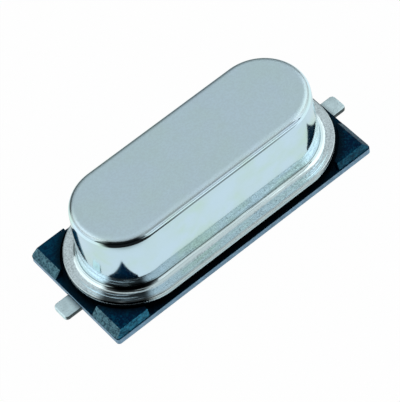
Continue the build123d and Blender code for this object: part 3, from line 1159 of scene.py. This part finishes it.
@dataclass
class Can:
    """The drawn cover and the stamped header that it is welded to."""

    sheet: float = 0.15 * MM
    land: float = 0.28 * MM
    top_edge_radius: float = 0.28 * MM
    flare_radius: float = 0.23 * MM
    draft: float = math.radians(2.4)
    edge_round: float = 0.04 * MM
    seam_round: float = 0.012 * MM
    platform_clearance: float = 0.12 * MM
    platform_bevel: float = 0.08 * MM
    # How high the painted dark reflection at the near end reaches above the flange.
    dark_reflection_fade: Span = (0.2 * MM, 0.46 * MM)
    top_steps: int = 20
    flare_steps: int = 18
    edge_steps: int = 6
    seam_steps: int = 3
    bead_steps: int = 64
    cover: NodeBox = field(default_factory=lambda: NodeBox.of("cover_can"))
    header: NodeBox = field(default_factory=lambda: NodeBox.of("header_base"))
    bead: NodeBox = field(default_factory=lambda: NodeBox.of("glass_bead_right"))

    def __post_init__(self) -> None:
        """Works the other sizes out from the frame."""
        self.flange_radius = self.cover.high.y
        self.half_straight = self.cover.high.x - self.flange_radius
        self.top = self.cover.high.z
        self.flange_joint = self.cover.low.z
        self.flange_top = self.flange_joint + self.sheet
        self.flare_centre = Vector((self.flange_radius - self.land, self.flange_top + self.flare_radius))
        edge_level = self.top - self.top_edge_radius
        lean = math.sin(self.draft) * (edge_level - self.flare_centre.y)
        span = (self.top_edge_radius + self.flare_radius + lean) / math.cos(self.draft)
        self.edge_centre = Vector((self.flare_centre.x - span, edge_level))
        self.wall_normal = Vector((math.cos(self.draft), math.sin(self.draft)))

    def finish(self) -> NickelPlate:
        """The bright plate of the cover."""
        dark_reflection_low, dark_reflection_high = (self.flange_top + rise for rise in self.dark_reflection_fade)
        return NickelPlate(
            name="bright_nickel",
            colour=(0.7, 0.86, 0.93),
            flange_colour=(0.86, 0.98, 1.0),
            half_straight=self.half_straight,
            top_height=self.edge_centre.y,
            top_round=self.top_edge_radius,
            flange_height=self.flange_top,
            flange_radius=self.flange_radius,
            # Painted dark reflection on the foot at the near end.
            dark_reflection_sector=Sector(bearing=227, core=17, edge=28, depth=0.97, fall=(dark_reflection_low, dark_reflection_high)),
        )

    def cover_section(self) -> Section:
        """Half section of the cover, over the outside and back along the inside."""
        lean = math.degrees(self.draft)
        inner_flare = self.flare_radius + self.sheet
        leg = math.tan((math.pi / 2 - self.draft) / 4) * inner_flare
        ceiling = self.top - self.sheet
        wall_foot = self.flare_centre - self.wall_normal * self.flare_radius
        inner_head = self.edge_centre + self.wall_normal * (self.top_edge_radius - self.sheet)
        down = Vector((self.wall_normal.y, -self.wall_normal.x))
        inner_foot = self.flare_centre - self.wall_normal * inner_flare + down * leg
        rim_round = (self.flange_radius - self.edge_round, self.flange_top - self.edge_round)
        seam_centre = (self.flange_radius - self.seam_round, self.flange_joint + self.seam_round)
        section = Section().start(0, self.top)
        section.line(self.edge_centre.x, self.top)
        section.arc(self.edge_centre, self.top_edge_radius, 90, lean, self.top_steps)
        section.line(*wall_foot)
        section.arc(self.flare_centre, self.flare_radius, 180 + lean, 270, self.flare_steps)
        section.line(rim_round[0], self.flange_top)
        section.arc(rim_round, self.edge_round, 90, 0, self.edge_steps)
        section.line(self.flange_radius, seam_centre[1])
        section.arc(seam_centre, self.seam_round, 0, -90, self.seam_steps)
        section.line(self.flare_centre.x - leg, self.flange_joint).line(*inner_foot)
        section.line(*inner_head).line(self.edge_centre.x, ceiling).line(0, ceiling)
        return section

    def header_section(self) -> Section:
        """Half section of the header, from the platform out to the flange and back underneath."""
        platform = self.edge_centre.x + self.top_edge_radius - self.sheet - self.platform_clearance
        platform_top = self.header.high.z
        underside = self.header.low.z
        seam_centre = (self.flange_radius - self.seam_round, self.flange_joint - self.seam_round)
        foot_round = (self.flange_radius - self.edge_round, underside + self.edge_round)
        section = Section().start(0, platform_top)
        section.line(platform - self.platform_bevel, platform_top)
        section.line(platform, platform_top - self.platform_bevel).line(platform, self.flange_joint)
        section.line(seam_centre[0], self.flange_joint)
        section.arc(seam_centre, self.seam_round, 90, 0, self.seam_steps)
        section.line(self.flange_radius, foot_round[1])
        section.arc(foot_round, self.edge_round, 0, -90, self.edge_steps)
        section.line(0, underside)
        return section

    def bead_cutters(self) -> list[Piece]:
        """Round cutters for the two bead holes of the header."""
        radius = self.bead.high.y
        middle = self.bead.high.x - radius
        bottom, top = self.header.low.z - self.sheet, self.header.high.z + self.sheet
        cutters = []
        for side in Side:
            outline = arc_points((side.sign * middle, 0), radius, 0, 360, self.bead_steps)[:-1]
            cutters.append(new_piece(f"bead_cutter_{side.value}", prism(outline, bottom, top)))
        return cutters

    def build(self) -> None:
        """Makes and dresses both pieces."""
        sweep = ObroundSweep()
        nickel = self.finish().material()
        steel = PlatedMetal(
            name="header_plate", colour=(0.6, 0.74, 0.79), roughness=0.22, grain_depth=0.001 * MM
        ).material()
        cover = face_outwards(sweep.make("drawn_cover", self.cover_section(), self.half_straight, nickel))
        seat_piece(cover, "cover_can", nickel)
        header = face_outwards(sweep.make("stamped_header", self.header_section(), self.half_straight, steel))
        combine(header, self.bead_cutters(), Operation.CUT)
        shade(header, ObroundSweep.sharp_angle, weighted=False)
        seat_piece(header, "header_base", steel)


@dataclass
class Leads:
    """The two leads: round wire with a nail head, bent out under the plate and coined to a tab."""

    wire_radius: float = 0.215 * MM
    bend_radius: float = 0.35 * MM
    coining_length: float = 0.5 * MM
    head_thickness: float = 0.12 * MM
    tab_half_width: float = 0.375 * MM
    tab_thickness: float = 0.2 * MM
    tab_edge_round: float = 0.05 * MM
    tab_tip_radius: float = 0.16 * MM
    least_corner: float = 0.2
    sharp_angle: float = math.radians(40)
    corner_steps: int = 8
    tip_steps: int = 12
    tab_steps: int = 4
    coining_steps: int = 10
    bend_steps: int = 12
    box: NodeBox = field(default_factory=lambda: NodeBox.of("lead_right"))

    def __post_init__(self) -> None:
        """Works the stations out from the frame."""
        self.head_radius = self.box.high.y
        self.pin_x = self.box.low.x + self.head_radius
        self.tip = self.box.high.x
        self.coining_start = self.pin_x + self.bend_radius
        self.tab_start = self.coining_start + self.coining_length
        self.head_top = self.box.high.z

    def ring(
        self, centre: Vector, across: Vector, half_width: float, half_height: float, corner: float
    ) -> Ring:
        """One cross-section of the lead.

        Args:
            centre: its middle.
            across: the direction in the XZ plane that half_height is measured along.
            half_width: half its size along Y.
            half_height: half its size along the across direction.
            corner: the radius of its corners.

        Returns:
            The points round the section.
        """
        outline = rounded_rectangle(half_width, half_height, corner, self.corner_steps)
        return [centre + Vector((0, y, 0)) + across * v for y, v in outline]

    def flat_ring(
        self, x: float, half_width: float, half_height: float, corner: float, middle: float
    ) -> Ring:
        """A cross-section of the straight stretch.

        Args:
            x: where it stands along X.
            half_width: half its size along Y.
            half_height: half its size along Z.
            corner: the radius of its corners.
            middle: the height of its middle.

        Returns:
            The points round the section.
        """
        return self.ring(Vector((x, 0, middle)), Vector((0, 0, 1)), half_width, half_height, corner)

    def tip_rings(self) -> list[Ring]:
        """Cross-sections of the rounded tip, from its end inwards."""
        half = self.tab_thickness / 2
        rings = []
        for step in range(self.tip_steps + 1):
            share = 1 - math.cos(math.pi / 2 * step / self.tip_steps)
            depth = self.tab_tip_radius * share
            plan = self.tab_tip_radius - depth
            pull = self.tab_tip_radius - math.sqrt(max(self.tab_tip_radius**2 - plan**2, 0))
            rim = max(self.tab_edge_round - depth, 0)
            thin = self.tab_edge_round - math.sqrt(max(self.tab_edge_round**2 - rim**2, 0))
            corner = max(self.tab_edge_round - thin, self.least_corner * self.tab_edge_round)
            width = self.tab_half_width - pull
            rings.append(self.flat_ring(self.tip - depth, width, half - thin, corner, half))
        return rings

    def rings(self) -> list[Ring]:
        """Every cross-section of the right-hand lead, from the tip of the tab to the head."""
        half = self.tab_thickness / 2
        rings = self.tip_rings()
        tab_run = self.tab_start - (self.tip - self.tab_tip_radius)
        for step in range(1, self.tab_steps + 1):
            x = self.tip - self.tab_tip_radius + tab_run * step / self.tab_steps
            rings.append(self.flat_ring(x, self.tab_half_width, half, self.tab_edge_round, half))
        for step in range(1, self.coining_steps + 1):
            share = step / self.coining_steps
            ease = share * share * (3 - 2 * share)
            x = self.tab_start - self.coining_length * share
            width = self.tab_half_width + (self.wire_radius - self.tab_half_width) * ease
            height = half + (self.wire_radius - half) * ease
            corner = self.tab_edge_round + (self.wire_radius - self.tab_edge_round) * ease
            rings.append(self.flat_ring(x, width, height, corner, height))
        hub = Vector((self.coining_start, 0, self.wire_radius + self.bend_radius))
        for step in range(1, self.bend_steps + 1):
            angle = math.pi / 2 * step / self.bend_steps
            outward = Vector((-math.sin(angle), 0, -math.cos(angle)))
            rings.append(self.ring(hub + outward * self.bend_radius, -outward, *[self.wire_radius] * 3))
        upright = Vector((1, 0, 0))
        head_bottom = self.head_top - self.head_thickness
        for radius, level in (
            (self.wire_radius, head_bottom),
            (self.head_radius, head_bottom),
            (self.head_radius, self.head_top),
        ):
            rings.append(self.ring(Vector((self.pin_x, 0, level)), upright, *[radius] * 3))
        return rings

    def shell(self, side: Side) -> Shell:
        """Skins the cross-sections of one lead to a closed solid."""
        shell = bmesh.new()
        loops = [[shell.verts.new((p.x * side.sign, p.y, p.z)) for p in ring] for ring in self.rings()]
        for first, second in zip(loops, loops[1:]):
            bridge(shell, first, second)
        for end in (loops[0], loops[-1]):
            shell.faces.new(end)
        bmesh.ops.remove_doubles(shell, verts=shell.verts, dist=MERGE_DISTANCE)
        bmesh.ops.recalc_face_normals(shell, faces=shell.faces)
        return shell

    def build(self) -> None:
        """Makes and dresses both leads."""
        tin = TinnedLead(
            name="dull_tin",
            colour=(0.79, 0.97, 1.0),
            roughness=0.36,
            grain_depth=0.012 * MM,
            dull_share=0.7,
            cloud_share=0.45,
            plate_end=NodeBox.of("insulator_plate").high.x,
        ).material()
        for side in Side:
            piece = shade(new_piece(f"tinned_lead_{side.value}", self.shell(side)), self.sharp_angle)
            seat_piece(piece, f"lead_{side.value}", tin)


@dataclass
class Plate:
    """The moulded plate: slab, seat under the can, four corner wedges, lead holes and lead grooves."""

    slab_thickness: float = 0.25 * MM
    corner_radius: float = 0.12 * MM
    seat_inset: float = 0.22 * MM
    wedge_length: float = 1.43 * MM
    wedge_width: float = 1.42 * MM
    wedge_rise: float = 0.33 * MM
    wedge_toe: float = 0.04 * MM
    wedge_ledge: float = 0.04 * MM
    wedge_setback: float = 0.008 * MM
    wedge_end_run: float = 0.25 * MM
    wedge_side_run: float = 0.07 * MM
    wedge_clearance: float = 0.12 * MM
    lead_clearance: float = 0.04 * MM
    slab_round: float = 0.03 * MM
    wedge_round: float = 0.04 * MM
    embed: float = 0.1 * MM
    wedge_sharp: float = math.radians(25)
    slab_sharp: float = math.radians(30)
    shade_sharp: float = math.radians(50)
    corner_steps: int = 8
    bay_steps: int = 24
    bore_steps: int = 48
    box: NodeBox = field(default_factory=lambda: NodeBox.of("insulator_plate"))

    def __post_init__(self) -> None:
        """Works the levels out from the frame."""
        self.half_length = self.box.high.x
        self.half_width = self.box.high.y
        self.underside = self.box.low.z
        self.slab_top = self.underside + self.slab_thickness
        self.seat_top = NodeBox.of("header_base").low.z
        self.wedge_end = self.half_length - self.wedge_setback

    def slope(self, shell: Shell, sign_x: int, sign_y: int) -> None:
        """Cuts the outer sides of one wedge to their slopes.

        Args:
            shell: the wedge as an upright prism.
            sign_x: which end of the plate it is on.
            sign_y: which side of the plate it is on.
        """
        climb = self.wedge_rise - self.wedge_toe
        foot = self.slab_top + self.wedge_toe
        end = Vector((sign_x * self.wedge_end, 0, foot))
        side = Vector((0, sign_y * (self.half_width - self.wedge_ledge), foot))
        slice_off(shell, end, Vector((sign_x * climb, 0, self.wedge_end_run)).normalized())
        slice_off(shell, side, Vector((0, sign_y * climb, self.wedge_side_run)).normalized())

    def wedge_outline(self, can: Can) -> list[Point2]:
        """Plan of the wedge at the positive corner, counter-clockwise."""
        bay = can.flange_radius + self.wedge_clearance
        side = self.half_width - self.wedge_ledge
        inner_x = self.half_length - self.wedge_length
        inner_y = self.half_width - self.wedge_width
        corner = (self.wedge_end - self.corner_radius, side - self.corner_radius)
        begin = math.degrees(math.acos((inner_x - can.half_straight) / bay))
        end = math.degrees(math.asin(inner_y / bay))
        outline = [(self.wedge_end, inner_y)]
        outline += arc_points(corner, self.corner_radius, 0, 90, self.corner_steps)
        outline += [(inner_x, side)]
        outline += arc_points((can.half_straight, 0), bay, begin, end, self.bay_steps)
        return outline

    def wedges(self, can: Can) -> list[Piece]:
        """The four corner wedges, let into the slab."""
        made = []
        for sign_x in (1, -1):
            for sign_y in (1, -1):
                outline = [(x * sign_x, y * sign_y) for x, y in self.wedge_outline(can)]
                if sign_x * sign_y < 0:
                    outline.reverse()
                shell = prism(outline, self.slab_top - self.embed, self.slab_top + self.wedge_rise)
                self.slope(shell, sign_x, sign_y)
                round_edges(shell, self.wedge_round, self.wedge_sharp)
                made.append(new_piece(f"wedge_{len(made)}", shell))
        return made

    def slab(self) -> Piece:
        """The slab with its rim rounded."""
        outline = rounded_rectangle(self.half_length, self.half_width, self.corner_radius, self.corner_steps)
        shell = prism(outline, self.underside, self.slab_top)
        return new_piece("moulded_plate", round_edges(shell, self.slab_round, self.slab_sharp))

    def seat(self, can: Can) -> Piece:
        """The raised seat under the can."""
        outline = obround(can.half_straight, can.flange_radius - self.seat_inset)
        return new_piece("seat", prism(outline, self.slab_top - self.embed, self.seat_top))

    def lead_cutters(self, leads: Leads) -> list[Piece]:
        """Cutters for the lead holes and for the grooves under the plate."""
        gap = self.lead_clearance
        floor = self.underside - self.slab_thickness
        tab_roof = leads.tab_thickness + gap
        wire_roof = 2 * leads.wire_radius + gap
        half = leads.tab_half_width + gap
        profile = [
            (leads.pin_x, floor),
            (leads.tip, floor),
            (leads.tip, tab_roof),
            (leads.tab_start + gap, tab_roof),
            (leads.coining_start + gap, wire_roof),
            (leads.pin_x, wire_roof),
        ]
        cutters = []
        for side in Side:
            shell = bmesh.new()
            near = [shell.verts.new((x * side.sign, -half, z)) for x, z in profile]
            far = [shell.verts.new((x * side.sign, half, z)) for x, z in profile]
            shell.faces.new(near)
            shell.faces.new(reversed(far))
            for i, vertex in enumerate(near):
                after = (i + 1) % len(near)
                shell.faces.new((vertex, far[i], far[after], near[after]))
            bmesh.ops.recalc_face_normals(shell, faces=shell.faces)
            cutters.append(new_piece(f"groove_{side.value}", shell))
            pin = (side.sign * leads.pin_x, 0)
            hole = arc_points(pin, leads.wire_radius + gap, 0, 360, self.bore_steps)[:-1]
            bore = prism(hole, floor, self.seat_top + self.embed)
            cutters.append(new_piece(f"bore_{side.value}", bore))
        return cutters

    def build(self, can: Can, leads: Leads) -> None:
        """Makes and dresses the plate."""
        plate = self.slab()
        combine(plate, [self.seat(can), *self.wedges(can)], Operation.UNION)
        combine(plate, self.lead_cutters(leads), Operation.CUT)
        shade(plate, self.shade_sharp)
        black = Moulding(
            name="black_moulding",
            colour=(0.0005, 0.006, 0.028),
            lit_corner_colour=(0.001, 0.045, 0.09),
            rim_reflection_colour=(0.36, 0.57, 0.75),
            rubbed_colour=(0.19, 0.4, 0.47),
            side_colour=(0.05, 0.31, 0.47),
            sheen_colour=(0.02, 0.5, 0.9),
            slab_top=self.slab_top - self.slab_round / 2,
            half_straight=can.half_straight,
            flange_radius=can.flange_radius,
        )
        seat_piece(plate, "insulator_plate", black.material())


@dataclass(frozen=True)
class SealedPieces:
    """The pieces inside the can, which keep their meshes and only get finishes."""

    glass: Finish = ClearSolid("sealing_glass", (0.1, 0.16, 0.14), roughness=0.08, index=1.52)
    spring: Finish = PlatedMetal("nickel_silver", (0.62, 0.6, 0.53), roughness=0.3)
    quartz: Finish = ClearSolid("lapped_quartz", (0.92, 0.94, 0.95), roughness=0.25, index=1.55)
    silver: Finish = PlatedMetal("silver_film", (0.88, 0.87, 0.83), roughness=0.22, dull_share=0.9)
    adhesive: Finish = PlatedMetal("silver_adhesive", (0.5, 0.5, 0.49), roughness=0.6, grain_depth=0.01 * MM)

    def dress(self) -> None:
        """Dresses every sealed piece."""
        for side in Side:
            dress_node(f"glass_bead_{side.value}", self.glass.material())
            dress_node(f"crystal_clip_{side.value}", self.spring.material())
            dress_node(f"adhesive_dab_{side.value}", self.adhesive.material())
        for face in ("top", "bottom"):
            dress_node(f"electrode_{face}", self.silver.material())
        dress_node("quartz_blank", self.quartz.material())


def compass(bearing: float, elevation: float) -> Vector:
    """The unit vector at a bearing from X and an elevation, both in degrees."""
    turn, rise = math.radians(bearing), math.radians(elevation)
    return Vector((math.cos(turn) * math.cos(rise), math.sin(turn) * math.cos(rise), math.sin(rise)))


@dataclass(frozen=True)
class Softbox:
    """One soft lamp, aimed at the part from a compass direction."""

    name: str
    bearing: float
    elevation: float
    width: float
    height: float
    radiance: float
    colour: Colour = (0.94, 0.98, 1.0)
    distance: float = 0.3

    def place(self, target: Vector) -> None:
        """Adds the lamp, with the power that gives its face the wanted radiance."""
        lamp = bpy.data.lights.new(self.name, "AREA")
        lamp.shape = "RECTANGLE"
        lamp.size = self.width
        lamp.size_y = self.height
        lamp.color = self.colour
        lamp.energy = self.radiance * math.pi * self.width * self.height
        out = compass(self.bearing, self.elevation)
        piece = add_object(self.name, lamp)
        piece.location = target + out * self.distance
        piece.rotation_mode = "QUATERNION"
        piece.rotation_quaternion = out.to_track_quat("Z", "Y")


@dataclass
class Studio:
    """White floor, pale ceiling light with a dark camera side, softboxes and the photo's camera."""

    floor_half: float = 0.6
    floor_drop: float = 0.01 * MM
    floor_colour: Colour = (0.88, 0.88, 0.88)
    floor_glow_share: float = 0.98
    contact_shade: float = 0.2
    contact_reach: Span = (4.6 * MM, 5.6 * MM)
    reflected_floor: Colour = (0.92, 1.0, 1.0)
    ceiling_colour: Colour = (0.56, 0.596, 0.618)
    horizon_colour: Colour = (0.06, 0.07, 0.075)
    horizon_span: Span = (0.05, 0.82)
    dark_sky: tuple[Sector, ...] = (Sector(bearing=232, core=26, edge=44, depth=0.97, fall=(0.6, 0.8)),)
    dark_floor: tuple[Sector, ...] = (
        Sector(bearing=230, core=30, edge=45, rise=(4.3 * MM, 4.65 * MM)),
        Sector(bearing=75, core=30, edge=60, depth=0.8, rise=(6.5 * MM, 10.0 * MM)),
        Sector(
            bearing=285, core=15, edge=32, depth=0.75, rise=(4.3 * MM, 4.9 * MM), fall=(8.0 * MM, 14.0 * MM)
        ),
    )
    softboxes: tuple[Softbox, ...] = (
        Softbox("left_softbox", bearing=148, elevation=28, width=0.4, height=0.34, radiance=0.66),
        Softbox("right_softbox", bearing=-14, elevation=27, width=0.46, height=0.34, radiance=0.74),
        Softbox("front_low", bearing=-70, elevation=14, width=0.16, height=0.11, radiance=0.6),
    )
    azimuth: float = -29.988
    elevation: float = 53.931
    roll: float = -12.055
    focal_pixels: float = 2591.3
    image_height: float = 402
    sensor: float = 36.0
    distance: float = 87.605 * MM
    clip_shares: Span = (0.01, 100)
    target: Vector = field(default_factory=lambda: Vector((-0.668, -1.054, 2.12)) * MM)

    def build_floor(self) -> None:
        """A flat white floor that keeps the part's shadow and is clear from below."""
        mesh = bpy.data.meshes.new("floor")
        corners = ((-1, -1), (1, -1), (1, 1), (-1, 1))
        points = [(x * self.floor_half, y * self.floor_half, -self.floor_drop) for x, y in corners]
        mesh.from_pydata(points, [], [range(len(points))])
        floor = add_object("floor", mesh)
        paper = bpy.data.materials.new("white_paper")
        graph = Graph.fresh(paper)
        lit = graph.fill(graph.add("ShaderNodeBsdfDiffuse"), Color=(*self.floor_colour, 1.0))[0]
        path = graph.add("ShaderNodeLightPath").outputs
        x, y, _ = graph.split(graph.object_position())
        distance = ObroundRings.place(graph)["Distance"]
        # Painted dark reflections: the contact shade and the dark patches darken the floor only where it is
        # seen in reflections.
        contact = graph.ramp(distance, *self.contact_reach, self.contact_shade, 0.0)
        patches = [patch.share(graph, x, y, distance) for patch in self.dark_floor]
        dark = Sector.strongest(graph, [contact, *patches])
        strength = graph.math("SUBTRACT", 1.0, graph.product(dark, path["Is Glossy Ray"]))
        tint = graph.blend(path["Is Glossy Ray"], WHITE, self.reflected_floor)
        glow = graph.fill(graph.add("ShaderNodeEmission"), Color=tint, Strength=strength)[0]
        seen = graph.math("MAXIMUM", path["Is Camera Ray"], path["Is Glossy Ray"])
        seen_through = graph.math("MAXIMUM", seen, path["Is Transmission Ray"])
        white = graph.mixed(graph.product(seen_through, self.floor_glow_share), lit, glow)
        below = graph.add("ShaderNodeNewGeometry").outputs["Backfacing"]
        one_sided = graph.mixed(below, white, graph.add("ShaderNodeBsdfTransparent").outputs[0])
        graph.fill(graph.add("ShaderNodeOutputMaterial"), Surface=one_sided)
        mesh.materials.append(paper)

    def build_world(self) -> None:
        """A cool ceiling that falls off to a dark horizon, and white where the camera sees past the floor."""
        world = bpy.data.worlds.new("studio")
        bpy.context.scene.world = world
        graph = Graph.fresh(world)
        direction = graph.add("ShaderNodeTexCoord").outputs["Generated"]
        x, y, z = graph.split(direction)
        rise = graph.ramp(z, *self.horizon_span)
        gradient = graph.blend(rise, self.horizon_colour, self.ceiling_colour)
        dark = Sector.strongest(graph, [patch.share(graph, x, y, z) for patch in self.dark_sky])
        room = graph.blend(dark, gradient, BLACK)
        seen = graph.add("ShaderNodeLightPath").outputs["Is Camera Ray"]
        glow = graph.fill(graph.add("ShaderNodeBackground"), Color=graph.blend(seen, room, WHITE))[0]
        graph.fill(graph.add("ShaderNodeOutputWorld"), Surface=glow)

    def build_camera(self) -> None:
        """The photo's long lens, looking down on the near end."""
        roll = math.radians(self.roll)
        back = compass(self.azimuth - 90, self.elevation)
        level = compass(self.azimuth, 0)
        rise = back.cross(level)
        right = level * math.cos(roll) + rise * math.sin(roll)
        up = back.cross(right)
        lens = bpy.data.cameras.new("photo_camera")
        lens.sensor_width = self.sensor
        lens.lens = self.focal_pixels * self.sensor / self.image_height
        lens.clip_start, lens.clip_end = (share * self.distance for share in self.clip_shares)
        camera = add_object("photo_camera", lens)
        place = Matrix((right, up, back)).transposed().to_4x4()
        place.translation = self.target + back * self.distance
        camera.matrix_world = place
        bpy.context.scene.camera = camera

    def build(self) -> None:
        """Sets the whole studio up."""
        bpy.context.scene.view_settings.view_transform = "Standard"
        self.build_floor()
        self.build_world()
        for softbox in self.softboxes:
            softbox.place(self.target)
        self.build_camera()


def main() -> None:
    """Builds the part's pieces in order, then the studio."""
    logging.basicConfig(level=logging.INFO, format="%(name)s: %(message)s")
    can = Can()
    leads = Leads()
    can.build()
    leads.build()
    Plate().build(can, leads)
    SealedPieces().dress()
    Studio().build()


if __name__ == "__main__":
    main()
